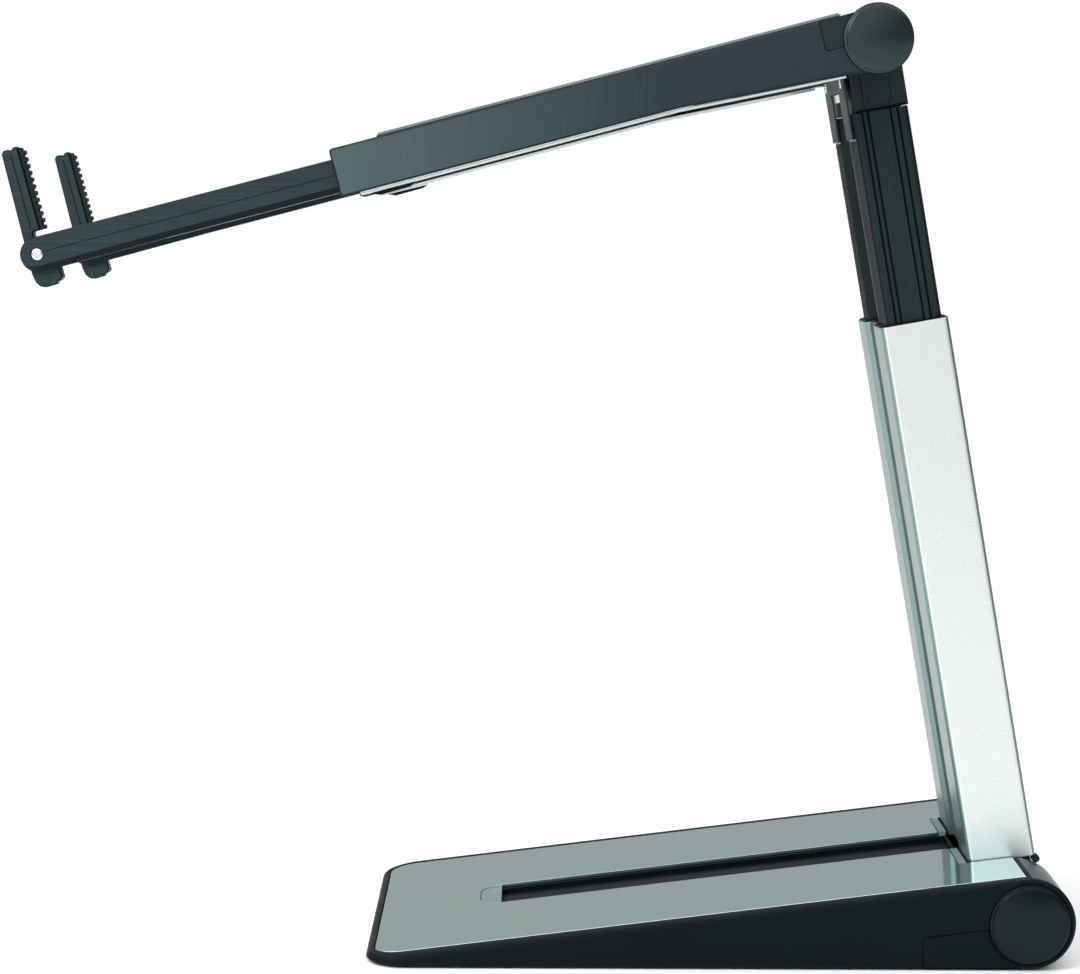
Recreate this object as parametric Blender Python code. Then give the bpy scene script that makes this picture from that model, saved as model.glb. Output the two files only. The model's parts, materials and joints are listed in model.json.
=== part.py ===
"""A folding device stand: a wedge base, a hinged telescopic column and two telescopic
arms with folding serrated stops.

Lengths below are in millimetres and are turned into metres when a mesh is made.
World frame: +X runs from the front edge of the base to its rear hinge barrel, +Y runs
across the base, +Z is up, and the origin is the middle of the base on the desk.
Each moving group hangs from an empty that stands on its joint's axis.
"""
import math

import bmesh
import bpy
from mathutils import Matrix

MM = 0.001
GAP = 0.3  # between neighbouring solids
RUNNING = 0.06  # radial clearance of a shaft in its bore

# ---- driving dimensions: base ----
BASE_LENGTH = 256.0
BASE_WIDTH = 151.0
BASE_LIFT = 0.5  # underside of the shell above the desk
BARREL_R = 16.5  # rear hinge barrel
DECK_SLOPE = math.radians(7.2)
CORNER_R = 14.2  # front corners, seen from above
RIM = 5.6  # black rim beside the polished plate
RIM_FRONT = 3.1
PLATE_T = 1.2
PLATE_EDGE = 0.25  # chamfer round the plate
SLOT_HALF = 14.3
SLOT_FRONT = -87.5
OPENING_FRONT = 90.6
OPENING_HALF = 39.4
CAP_R = 14.5
PANEL_FRONT = 73.2  # low panel beside the barrel cap
PANEL_TOP = 11.9  # its height at the front

# ---- driving dimensions: column ----
LEAN = math.radians(10.2)  # forward lean of the column at rest
TUBE_FRONT = 14.3  # tube front face ahead of the hinge axis
TUBE_REAR = 10.7
TUBE_HALF = 38.5
TUBE_WALL = 1.3
TUBE_BOTTOM = 15.6  # along the column from the hinge axis
TUBE_TOP = 218.2
GROOVE_DEPTH = 2.2
BUMPER_R = 1.5  # beads under the tube's rear edge
MAST_FRONT = 12.0
MAST_REAR = 8.7
MAST_HALF = 36.0
MAST_BOTTOM = 122.0
MAST_TOP = 296.4
MAST_GROOVE = 15.9  # half width of its front groove

# ---- driving dimensions: arms ----
ARM_AXIS_ALONG = 320.8  # from the base hinge axis, along the column
ARM_AXIS_FORWARD = 1.65
ARM_DROP = math.radians(14.75)  # the arms point this far below the horizontal
ARM_INNER = 47.6  # distances from the middle plane
ARM_OUTER = 65.6
ARM_LENGTH = 197.4
ARM_TOP = 10.95
ARM_BOTTOM = -6.4
ARM_KINK = 74.0
ARM_END_R = 11.4
ARM_CAP_R = 12.3
BAR_TAIL = 128.0
BAR_TOP = 7.3
BAR_BOTTOM = -4.7
BAR_INNER = 50.1
BAR_OUTER = 63.1
PIN_REACH = 307.2
PIN_UP = 1.1
PIN_R = 1.5
PIN_HEAD_R = 2.05
BAR_END_R = 6.3
FORK_START = 262.0
FORK_HALF = 3.6
STOP_HALF = 3.2
STOP_TOP = 38.6  # above the pin
RIB = 2.8  # front of the finger's rib, which carries the toothed pad
PAD_START = 8.2
SHAFT_R = 3.0
HUB_SHAFT_R = 4.0

HUB_X = BASE_LENGTH / 2 - BARREL_R
HUB_Z = BASE_LIFT + BARREL_R
FRONT_X = -BASE_LENGTH / 2
HALF = BASE_WIDTH / 2
ARM_MIDDLE = (BAR_INNER + BAR_OUTER) / 2
SIDES = {"left": -1.0, "right": 1.0}


# ------------------------------------------------------------------ materials
def material(name, colour, roughness, metallic=0.0):
    made = bpy.data.materials.new(name)
    made.use_nodes = True
    shader = made.node_tree.nodes["Principled BSDF"]
    shader.inputs["Base Color"].default_value = (*colour, 1.0)
    shader.inputs["Roughness"].default_value = roughness
    shader.inputs["Metallic"].default_value = metallic
    return made


def make_materials():
    return {
        "black": material("black_plastic", (0.018, 0.024, 0.026), 0.42),
        "dark": material("dark_satin", (0.045, 0.058, 0.060), 0.38),
        "plate": material("polished_plate", (0.60, 0.66, 0.65), 0.10, 1.0),
        "silver": material("satin_aluminium", (0.78, 0.80, 0.79), 0.34, 1.0),
        "anodised": material("black_anodised", (0.030, 0.038, 0.040), 0.30, 0.6),
        "grey": material("grey_plastic", (0.22, 0.27, 0.265), 0.50),
        "rubber": material("rubber", (0.012, 0.014, 0.015), 0.75),
        "steel": material("steel", (0.62, 0.64, 0.64), 0.25, 1.0),
    }


# ------------------------------------------------------------------ mesh tools
def finish_mesh(mesh, round_edges):
    work = bmesh.new()
    work.from_mesh(mesh)
    bmesh.ops.recalc_face_normals(work, faces=work.faces)
    work.to_mesh(mesh)
    work.free()
    if round_edges:
        mesh.shade_smooth()
        mesh.set_sharp_from_angle(angle=math.radians(35))


def add_object(name, mesh, parent, finish):
    made = bpy.data.objects.new(name, mesh)
    bpy.context.scene.collection.objects.link(made)
    if parent is not None:
        made.parent = parent
    if finish is not None:
        mesh.materials.append(finish)
    return made


def rings_mesh(name, rings, smooth=False):
    """A closed skin over rings that all have the same number of points, in mm."""
    work = bmesh.new()
    loops = [[work.verts.new([c * MM for c in p]) for p in ring] for ring in rings]
    count = len(rings[0])
    for low, high in zip(loops, loops[1:]):
        for i in range(count):
            j = (i + 1) % count
            work.faces.new((low[i], low[j], high[j], high[i]))
    work.faces.new(loops[0][::-1])
    work.faces.new(loops[-1])
    mesh = bpy.data.meshes.new(name)
    work.to_mesh(mesh)
    work.free()
    finish_mesh(mesh, smooth)
    return mesh


def solid(name, rings, parent, finish, smooth=False):
    return add_object(name, rings_mesh(name, rings, smooth), parent, finish)


def across(outline, y):
    """An outline of (x, z) points standing at one y."""
    return [(x, y, z) for x, z in outline]


def side_prism(name, outline, y0, y1, parent, finish, chamfer=0.0, smooth=False):
    """An (x, z) outline carried from y0 to y1, its two end edges chamfered."""
    low, high = sorted((y0, y1))
    if not chamfer:
        return solid(name, [across(outline, low), across(outline, high)], parent, finish, smooth)
    small = inset(outline, chamfer)
    rings = [
        across(small, low),
        across(outline, low + chamfer),
        across(outline, high - chamfer),
        across(small, high),
    ]
    return solid(name, rings, parent, finish, smooth)


def up_prism(name, outline, z0, z1, parent, finish, smooth=False):
    """An (x, y) outline carried from z0 to z1."""
    rings = [[(x, y, z) for x, y in outline] for z in (z0, z1)]
    return solid(name, rings, parent, finish, smooth)


def deck_prism(name, outline, low, high, parent, finish, smooth=False):
    """An (x, y) outline between two surfaces parallel to the sloping deck."""
    rings = [[(x, y, deck_z(x) + rise) for x, y in outline] for rise in (low, high)]
    return solid(name, rings, parent, finish, smooth)


def box(name, x, y, z, parent, finish):
    outline = [(x[0], y[0]), (x[1], y[0]), (x[1], y[1]), (x[0], y[1])]
    return up_prism(name, outline, z[0], z[1], parent, finish)


def signed_area(outline):
    return sum(
        a[0] * b[1] - b[0] * a[1] for a, b in zip(outline, outline[1:] + outline[:1])
    ) / 2


def inset(outline, distance):
    """The outline moved inwards by a distance, corner by corner."""
    turn = 1.0 if signed_area(outline) > 0 else -1.0
    moved = []
    for i, here in enumerate(outline):
        before, after = outline[i - 1], outline[(i + 1) % len(outline)]
        d1 = unit(here[0] - before[0], here[1] - before[1])
        d2 = unit(after[0] - here[0], after[1] - here[1])
        n1 = (-d1[1] * turn, d1[0] * turn)
        n2 = (-d2[1] * turn, d2[0] * turn)
        share = 1.0 + n1[0] * n2[0] + n1[1] * n2[1]
        moved.append(
            (
                here[0] + distance * (n1[0] + n2[0]) / share,
                here[1] + distance * (n1[1] + n2[1]) / share,
            )
        )
    return moved


def unit(x, y):
    length = math.hypot(x, y)
    return x / length, y / length


def arc(centre, radius, start, end, steps):
    """Points of an arc, from start to end in degrees."""
    angles = [math.radians(start + (end - start) * i / steps) for i in range(steps + 1)]
    return [(centre[0] + radius * math.cos(a), centre[1] + radius * math.sin(a)) for a in angles]


def circle(centre, radius, steps=32):
    return arc(centre, radius, 0.0, 360.0, steps)[:-1]


def rounded(x, y, radius, steps=4):
    """A rectangle with round corners."""
    corners = [(x[1], y[1], 0), (x[0], y[1], 90), (x[0], y[0], 180), (x[1], y[0], 270)]
    points = []
    for cx, cy, start in corners:
        centre = (
            cx - math.copysign(radius, cx - sum(x) / 2),
            cy - math.copysign(radius, cy - sum(y) / 2),
        )
        points += arc(centre, radius, start, start + 90, steps)
    return points


def boolean(target, other, operation):
    other.hide_render = True
    other.display_type = "WIRE"
    change = target.modifiers.new(operation.lower(), "BOOLEAN")
    change.operation = operation
    change.solver = "EXACT"
    change.object = other


def cut(target, cutter):
    boolean(target, cutter, "DIFFERENCE")


def join(target, other):
    boolean(target, other, "UNION")


def disc(name, centre, radius, y0, y1, parent, finish, steps=32, chamfer=0.0):
    """A cylinder that runs along Y."""
    outline = circle(centre, radius, steps)
    return side_prism(name, outline, y0, y1, parent, finish, chamfer, smooth=True)


def ring(name, centre, inner, outer, y0, y1, parent, finish, steps=32):
    made = disc(name, centre, outer, y0, y1, parent, finish, steps)
    reach = abs(y1 - y0)
    low, high = min(y0, y1) - reach, max(y0, y1) + reach
    cut(made, disc(name + "_bore", centre, inner, low, high, parent, None, steps))
    return made


def empty(name, place, turn, parent=None):
    made = bpy.data.objects.new(name, None)
    bpy.context.scene.collection.objects.link(made)
    made.parent = parent
    made.location = [c * MM for c in place]
    made.rotation_euler = (0.0, turn, 0.0)
    return made


# ------------------------------------------------------------------ base
def deck_z(x):
    """Height of the sloping deck, a plane that touches the top of the hinge barrel."""
    return HUB_Z + (BARREL_R + (x - HUB_X) * math.sin(DECK_SLOPE)) / math.cos(DECK_SLOPE)


def base_plan(margin_front, margin_side, rear, radius, steps=8):
    """The base seen from above, with round front corners, drawn inside its full size."""
    front = FRONT_X + margin_front
    side = HALF - margin_side
    points = [(rear, side)]
    points += arc((front + radius, side - radius), radius, 90, 180, steps)
    points += arc((front + radius, radius - side), radius, 180, 270, steps)
    points += [(rear, -side)]
    return points


def base_wedge(finish):
    """The wedge as a stack of plan outlines: chamfered below, rounded under the rim."""
    rear = HUB_X - BARREL_R * math.sin(DECK_SLOPE)
    floor = BASE_LIFT
    levels = [
        (0.9, lambda x: floor),
        (0.0, lambda x: floor + 0.9),
        (0.0, lambda x: max(deck_z(x) - 2.2, floor + 1.2)),
        (0.35, lambda x: max(deck_z(x) - 1.2, floor + 1.8)),
        (1.1, lambda x: deck_z(x) - 0.45),
        (2.2, lambda x: deck_z(x) - 0.08),
        (3.0, lambda x: deck_z(x)),
    ]
    rings = [
        [(x, y, height(x)) for x, y in base_plan(margin, margin, rear, CORNER_R - margin)]
        for margin, height in levels
    ]
    return solid("base_shell", rings, None, finish, smooth=True)


def base_shell(looks):
    shell = base_wedge(looks["black"])
    hub = (HUB_X, HUB_Z)
    join(shell, disc("barrel_tool", hub, BARREL_R, -HALF, HALF, None, None, 64, 0.8))

    pocket = base_plan(RIM_FRONT - GAP, RIM - GAP, HUB_X - 0.4, CORNER_R - RIM_FRONT)
    cut(shell, deck_prism("plate_pocket", pocket, -PLATE_T - GAP, 20.0, None, None))

    cover_bed = base_plan(4.2, 4.2, 89.0, CORNER_R - 4.2)
    cut(shell, up_prism("cover_bed", cover_bed, -5.0, 2.1, None, None))

    front, rear, half = -98.0, OPENING_FRONT - 3.0, 62.0
    corners = [(front, -half), (rear, -half), (rear, half), (front, half)]
    rings = [
        [(x, y, 1.0) for x, y in corners],
        [(x, y, deck_z(x) - PLATE_T - GAP - 1.6) for x, y in corners],
    ]
    cut(shell, solid("inner_cavity", rings, None, None))

    slot = slot_plan(SLOT_HALF - GAP, OPENING_FRONT + 5.0)
    cut(shell, deck_prism("slot_cut", slot, -6.0, 6.0, None, None))
    opening = rounded((OPENING_FRONT, 160.0), (-OPENING_HALF, OPENING_HALF), 1.0, 2)
    cut(shell, up_prism("foot_opening_cut", opening, -5.0, 60.0, None, None))

    bore = HUB_SHAFT_R + GAP
    cut(shell, disc("shaft_bore_cut", hub, bore, -90, 90, None, None))
    for side, sign in SIDES.items():
        cut(shell, disc("nut_pocket_" + side, hub, 8.4, sign * 65.4, sign * 90, None, None))
        depth = sign * (HALF - 1.9)
        cut(shell, disc("cap_pocket_" + side, hub, CAP_R + GAP, depth, sign * 90, None, None, 64))
        recess = barrel_band(1.6, 3.0)
        cut(
            shell,
            side_prism("barrel_recess_" + side, recess, sign * 30, sign * 72.6, None, None),
        )
        panel = side_panel_outline(-GAP)
        depth = sign * (HALF - 1.0)
        cut(shell, side_prism("panel_recess_" + side, panel, depth, sign * 90, None, None))
    for i, (x, y) in enumerate(screw_places()):
        cut(shell, up_prism(f"screw_hole_{i}", circle((x, y), 1.7, 12), 1.0, 6.3, None, None))
    return shell


def slot_plan(half, rear, front=SLOT_FRONT, radius=7.9):
    """The long slot seen from above, its front corners rounded."""
    points = [(rear, half)]
    points += arc((front + radius, half - radius), radius, 90, 180, 5)
    points += arc((front + radius, radius - half), radius, 180, 270, 5)
    points += [(rear, -half)]
    return points


def barrel_band(deep, proud):
    """The band of the barrel that the rear cover wraps, as a ring sector."""
    hub = (HUB_X, HUB_Z)
    outer = arc(hub, BARREL_R + proud, 88, -62, 24)
    inner = arc(hub, BARREL_R - deep, -62, 88, 24)
    return outer + inner


def side_panel_outline(margin):
    """The low panel beside the barrel cap; a negative margin makes it larger."""
    front = PANEL_FRONT + margin
    low = BASE_LIFT + 0.6 + margin
    top_front = PANEL_TOP - margin
    rise = math.tan(DECK_SLOPE)
    points = [(front, low), (front, top_front)]
    edge = arc((HUB_X, HUB_Z), CAP_R + 1.0 + margin, 191.0, 258.0, 10)
    points += [(edge[0][0], top_front + (edge[0][0] - front) * rise)]
    points += edge[1:]
    points += [(edge[-1][0], low)]
    return points


def screw_places():
    return [(x, y) for x in (-84.0, 80.0) for y in (-66.5, 66.5)]


def base_plate(looks):
    front, side = RIM_FRONT, RIM
    outer = base_plan(front, side, HUB_X - 0.8, CORNER_R - RIM_FRONT, 10)
    top = inset(outer, PLATE_EDGE)
    rings = [
        [(x, y, deck_z(x) + rise) for x, y in plan]
        for plan, rise in ((outer, -PLATE_T), (outer, -0.05 - PLATE_EDGE), (top, -0.05))
    ]
    plate = solid("base_plate", rings, None, looks["plate"], True)
    slot = slot_plan(SLOT_HALF, OPENING_FRONT + 4.0)
    cut(plate, deck_prism("plate_slot_cut", slot, -8.0, 8.0, None, None))
    opening = rounded((OPENING_FRONT - 0.3, 160), (-OPENING_HALF - 0.2, OPENING_HALF + 0.2), 1, 2)
    cut(plate, up_prism("plate_opening_cut", opening, -5.0, 60.0, None, None))
    return plate


def slot_tray(looks):
    outer = slot_plan(SLOT_HALF - 2 * GAP, OPENING_FRONT + 2.8, SLOT_FRONT + 2 * GAP)
    tray = deck_prism("slot_tray", outer, -4.4, -PLATE_T - GAP, None, looks["black"], True)
    inner = slot_plan(SLOT_HALF - 2 * GAP - 0.9, OPENING_FRONT + 1.9, SLOT_FRONT + 1.5)
    cut(tray, deck_prism("tray_hollow", inner, -3.5, 5.0, None, None))
    end = slot_plan(SLOT_HALF - GAP, SLOT_FRONT + 8.2, SLOT_FRONT + GAP, 7.6)
    rings = [
        [(x, y, deck_z(x) - PLATE_T) for x, y in end],
        [(x, y, deck_z(x) - 0.2 - (x - SLOT_FRONT) * 0.05) for x, y in end],
    ]
    solid("slot_end_piece", rings, None, looks["grey"])
    return tray


def front_stops(looks):
    """Strips between the deck and the column's front face, its forward stop."""
    x = (OPENING_FRONT + GAP, OPENING_FRONT + 3.0)
    for side, sign in SIDES.items():
        low, high = sorted((sign * (SLOT_HALF + GAP), sign * (OPENING_HALF - 0.4)))
        outline = [(x[0], low), (x[1], low), (x[1], high), (x[0], high)]
        deck_prism("front_stop_" + side, outline, -6.5, -0.1, None, looks["grey"])


def bottom_cover(looks):
    outline = base_plan(4.6, 4.6, 88.6, CORNER_R - 4.6)
    cover = up_prism("bottom_cover", outline, BASE_LIFT + 0.1, 1.8, None, looks["dark"])
    sole = rounded((-96.0, 66.0), (-52.0, 52.0), 6.0)
    cut(cover, up_prism("sole_bed", inset(sole, -GAP), -1.0, 1.1, None, None))
    for i, (x, y) in enumerate(screw_places()):
        cut(cover, up_prism(f"cover_hole_{i}", circle((x, y), 3.3, 20), -1.0, 5.0, None, None))
        head = [[(px, py, z) for px, py in circle((x, y), r, 16)]
                for r, z in ((3.0, 0.7), (3.0, 1.7), (1.35, 1.75), (1.35, 5.9))]
        solid(f"base_screw_{i + 1}", head, None, looks["steel"], True)
    up_prism("rubber_sole", sole, 0.0, 0.8, None, looks["rubber"])


def hub_parts(looks):
    hub = (HUB_X, HUB_Z)
    disc("hub_shaft", hub, HUB_SHAFT_R, -71.0, 71.0, None, looks["steel"], 32, 0.4)
    for side, sign in SIDES.items():
        low = HALF - 1.6
        rings = domed_cap(hub, CAP_R, low, HALF - 0.2, 1.7, sign)
        solid("hub_cap_" + side, rings, None, looks["dark"], True)
        ring("hub_nut_" + side, hub, 4.3, 7.6, sign * 66, sign * 70, None, looks["steel"], 24)
        ring("hub_washer_" + side, hub, 4.3, 10.0, sign * 38.5, sign * 39.1, None, looks["steel"])
        wrap = barrel_cover_outline()
        side_prism(
            "barrel_cover_" + side, wrap, sign * 39.7, sign * 72.3, None, looks["dark"], 0.0, True
        )
        outline = side_panel_outline(0.0)
        low, high = sign * (HALF - 0.7), sign * (HALF - 0.05)
        side_prism("side_panel_" + side, outline, low, high, None, looks["black"])


def domed_cap(centre, radius, low, shoulder, height, sign):
    """Rings of a round cap: a straight rim from low to the shoulder, then a dome."""
    rings = [across(circle(centre, radius, 64), sign * low)]
    steps = 7
    for i in range(steps + 1):
        lift = math.radians(78.0 * i / steps)
        wide = radius - 0.5 + 0.5 * math.cos(lift) if i < 2 else radius * math.cos(lift)
        rings.append(
            across(circle(centre, wide, 64), sign * (shoulder + height * math.sin(lift)))
        )
    return rings


def barrel_cover_outline():
    hub = (HUB_X, HUB_Z)
    return arc(hub, BARREL_R - 0.05, 86.8, -60.8, 24) + arc(hub, BARREL_R - 1.3, -60.8, 86.8, 24)


# ------------------------------------------------------------------ column and mast
def grooved_outline(front, rear, half, radius, groove_half, depth, slant):
    """A column section seen from above: (x, y), front towards -x, a groove in the front."""
    points = arc((rear - radius, half - radius), radius, 0, 90, 4)
    points += arc((-front + radius, half - radius), radius, 90, 180, 4)
    points += [
        (-front, groove_half + slant),
        (-front + depth, groove_half),
        (-front + depth, -groove_half),
        (-front, -groove_half - slant),
    ]
    points += arc((-front + radius, radius - half), radius, 180, 270, 4)
    points += arc((rear - radius, radius - half), radius, 270, 360, 4)
    return points


def column_tube(frame, looks):
    outer = grooved_outline(TUBE_FRONT, TUBE_REAR, TUBE_HALF, 1.8, SLOT_HALF - 1.0, GROOVE_DEPTH, 1.0)
    tube = up_prism("column_tube", outer, TUBE_BOTTOM, TUBE_TOP, frame, looks["silver"], True)
    inner = grooved_outline(
        TUBE_FRONT - TUBE_WALL,
        TUBE_REAR - TUBE_WALL,
        TUBE_HALF - TUBE_WALL,
        0.9,
        SLOT_HALF - 1.0 + TUBE_WALL * 0.7,
        GROOVE_DEPTH,
        1.0,
    )
    cut(tube, up_prism("tube_hollow", inner, 0.0, 240.0, frame, None))


def column_foot(frame, looks):
    """The turning barrel and the neck that the tube is pressed over."""
    foot = disc("column_foot", (0, 0), 14.2, -38.2, 38.2, frame, looks["black"], 48)
    join(foot, box("neck_tool", (-9.7, 8.8), (-36.6, 36.6), (4.0, 44.0), frame, None))
    bore = HUB_SHAFT_R + RUNNING
    cut(foot, disc("foot_bore", (0, 0), bore, -60, 60, frame, None))
    for side, sign in SIDES.items():
        place = (TUBE_REAR, TUBE_BOTTOM - BUMPER_R - GAP)
        disc("rear_bumper_" + side, place, BUMPER_R, sign * 33.5, sign * 37.6, frame,
             looks["rubber"], 20, 0.4)


def glide_strips(frame, looks):
    """Plastic strips at the tube's mouth that the mast slides against."""
    x = (-7.0, 5.5)
    z = (TUBE_TOP - 26.0, TUBE_TOP - 0.8)
    for side, sign in SIDES.items():
        y = sorted((sign * (MAST_HALF + 0.06), sign * (TUBE_HALF - TUBE_WALL - 0.1)))
        box("mouth_glide_" + side, x, y, z, frame, looks["black"])


def mast_profile(frame, looks):
    outer = grooved_outline(MAST_FRONT, MAST_REAR, MAST_HALF, 1.8, MAST_GROOVE, 3.2, 0.8)
    floor = -MAST_FRONT + 3.2
    middle = outer.index((floor, MAST_GROOVE)) + 1
    rib = [(floor, 1.0), (floor - 1.6, 0.7), (floor - 1.6, -0.7), (floor, -1.0)]
    outer = outer[:middle] + rib + outer[middle:]
    mast = up_prism("mast_profile", outer, MAST_BOTTOM, MAST_TOP, frame, looks["anodised"], True)
    hollow = rounded((-6.9, 6.4), (-33.4, 33.4), 1.0, 2)
    cut(mast, up_prism("mast_hollow", hollow, 60.0, 330.0, frame, None))
    for side, sign in SIDES.items():
        for i, forward in enumerate((8.2, 6.2, -2.1, -4.7)):
            deep = 0.7
            wide = 0.45
            groove = [
                (-forward - wide, sign * (MAST_HALF + 0.1)),
                (-forward + wide, sign * (MAST_HALF + 0.1)),
                (-forward, sign * (MAST_HALF - deep)),
            ]
            cut(mast, up_prism(f"v_groove_{side}_{i}", groove, 60.0, 330.0, frame, None))
    box("mast_end_plug", (-6.6, 6.1), (-33.1, 33.1), (MAST_BOTTOM - 2.0, MAST_BOTTOM + 10.0),
        frame, looks["black"])


def mast_head(frame, looks):
    """The block on the mast that carries the arms' shaft."""
    axis = (-ARM_AXIS_FORWARD, ARM_AXIS_ALONG)
    low = MAST_TOP + GAP
    outline = [(-10.6, low), (9.2, low), (9.2, low + 17.0), (6.0, low + 25.0),
               (-8.6, low + 25.0), (-10.6, low + 17.0)]
    head = side_prism("mast_head", outline, -34.4, 34.4, frame, looks["black"], 0.8, False)
    join(head, disc("head_barrel_tool", axis, 10.4, -46.5, 46.5, frame, None, 40))
    join(head, box("spigot_tool", (-6.6, 6.1), (-33.1, 33.1), (low - 12.0, low + 4.0), frame, None))
    cut(head, disc("head_bore", axis, SHAFT_R + GAP, -60, 60, frame, None))
    for side, sign in SIDES.items():
        panel = rounded((-5.4, 3.6), (low + 1.4, low + 12.4), 2.0, 4)
        y = (sign * 33.9, sign * 40.0)
        cut(head, side_prism("head_recess_" + side, panel, *y, frame, None))
        seam = sorted((sign * 33.8, sign * 40.0))
        cut(head, box("head_seam_" + side, (-7.1, -6.6), seam, (low - 1, low + 26), frame, None))
    arm_shaft = disc("arm_shaft", axis, SHAFT_R, -63.4, 63.4, frame, looks["steel"], 32, 0.3)
    half, leg, foot, top = 33.6, 14.0, MAST_TOP - 9.0, MAST_TOP + 17.0
    bracket = [(-half, foot), (-half, top - 3.5), (-half + 5, top), (half - 5, top),
               (half, top - 3.5), (half, foot), (leg + 1.5, foot), (leg, MAST_TOP),
               (leg, top - 8.0), (-leg, top - 8.0), (-leg, MAST_TOP), (-leg - 1.5, foot)]
    rings = [[(x, y, z) for y, z in bracket] for x in (-MAST_FRONT - 1.1, -MAST_FRONT - GAP)]
    solid("head_bracket", rings, frame, looks["grey"])
    return arm_shaft


# ------------------------------------------------------------------ arms
def arm_outline(top=ARM_TOP, bottom=ARM_BOTTOM, length=ARM_LENGTH, end_r=ARM_END_R):
    """The arm seen from the side, in (x, z) of its own frame; the arm runs towards -x."""
    points = arc((0, 0), end_r, 106, -90, 20)
    points += [(-12.0, -9.5), (-ARM_KINK, bottom + 0.3)]
    points += arc((-length + 1.2, bottom + 1.2), 1.2, 270, 180, 3)
    points += arc((-length + 1.2, top - 1.2), 1.2, 180, 90, 3)
    return points


def arm_parts(side, sign, frame, looks):
    outline = arm_outline()
    cover = side_prism("arm_cover_" + side, outline, sign * ARM_INNER, sign * ARM_OUTER,
                       frame, looks["black"], 0.7, True)
    inner, outer = sorted((sign * (ARM_INNER + 1.1), sign * (ARM_OUTER - 1.3)))
    bed = box("channel_bed_" + side, (-220, -19.0), (inner, outer), (-6.4, 9.6), frame, None)
    cut(cover, bed)
    inner, outer = sorted((sign * (ARM_INNER - 5.0), sign * (ARM_INNER + 5.0)))
    window = box("channel_window_" + side, (-220, -24.0), (inner, outer), (-20.0, 4.0), frame, None)
    cut(cover, window)
    cut(cover, disc("arm_bore_" + side, (0, 0), SHAFT_R + RUNNING, -90, 90, frame, None))
    pocket = disc("arm_nut_pocket_" + side, (0, 0), 6.6, sign * 60.2, sign * 90, frame, None)
    cut(cover, pocket)
    insert = rounded((-18.8, -3.0), (0.3, 10.9), 0.8, 2)
    bed = side_prism("insert_bed_" + side, inset(insert, -GAP), sign * (ARM_OUTER - 1.1),
                     sign * 90, frame, None)
    cut(cover, bed)
    panel = side_prism("arm_insert_" + side, insert, sign * (ARM_OUTER - 0.8),
                       sign * (ARM_OUTER - 0.05), frame, looks["black"])
    clearance = disc("insert_clear_" + side, (0, 0), 6.9, sign * 60.0, sign * 90, frame, None)
    cut(panel, clearance)

    channel = box("arm_channel_" + side, (-196.9, -20.0),
                  sorted((sign * 49.0, sign * 64.0)), (-5.5, 9.3), frame, looks["silver"])
    hollow = box("channel_hollow_" + side, (-230.0, -10.0),
                 sorted((sign * (BAR_INNER - GAP), sign * (BAR_OUTER + GAP))),
                 (BAR_BOTTOM - GAP, BAR_TOP + GAP), frame, None)
    cut(channel, hollow)

    strip = [(-180.0, ARM_TOP + 0.3), (-10.5, ARM_TOP + 0.3), (-11.5, ARM_TOP + 1.3), (-179.0, ARM_TOP + 1.3)]
    side_prism("top_strip_" + side, strip, sign * 50.6, sign * 62.6, frame, looks["grey"], 0.0)
    low = [(-190.0, ARM_BOTTOM - GAP), (-ARM_KINK, ARM_BOTTOM), (-14.0, -9.75)]
    strip = low + [(x, z - 0.8) for x, z in reversed(low)]
    side_prism("bottom_strip_" + side, strip, sign * 51.0, sign * 63.6, frame, looks["silver"])
    low = ARM_BOTTOM - 0.8 - 2 * GAP
    wedge = [(-171.0, low - 0.2), (-187.0, low), (-184.0, low - 1.2), (-173.0, low - 1.0)]
    side_prism("arm_wedge_" + side, wedge, sign * 52.0, sign * 62.6, frame, looks["black"])

    low = ARM_OUTER + GAP
    rings = domed_cap((0, 0), ARM_CAP_R, low, low + 1.2, 1.8, sign)
    solid("arm_cap_" + side, rings, frame, looks["dark"], True)
    ring("arm_nut_" + side, (0, 0), SHAFT_R + GAP, 5.8, sign * 60.6, sign * 63.2, frame,
         looks["steel"], 24)
    ring("arm_washer_" + side, (0, 0), SHAFT_R + GAP, 8.0, sign * 46.8, sign * 47.3, frame,
         looks["steel"])


def bar_outline(shrink):
    """The extension bar from the side; shrink lowers its flat side face's lower edge."""
    end = arc((-PIN_REACH, PIN_UP), BAR_END_R, 100, 262, 14)
    lower = [(x, z + shrink * max(0.0, (PIN_UP - z) / BAR_END_R)) for x, z in end]
    tail = [(-FORK_START, BAR_BOTTOM + shrink), (-BAR_TAIL, BAR_BOTTOM + shrink)]
    return [(-BAR_TAIL, BAR_TOP), (-PIN_REACH + 12.0, BAR_TOP)] + lower + tail


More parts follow.
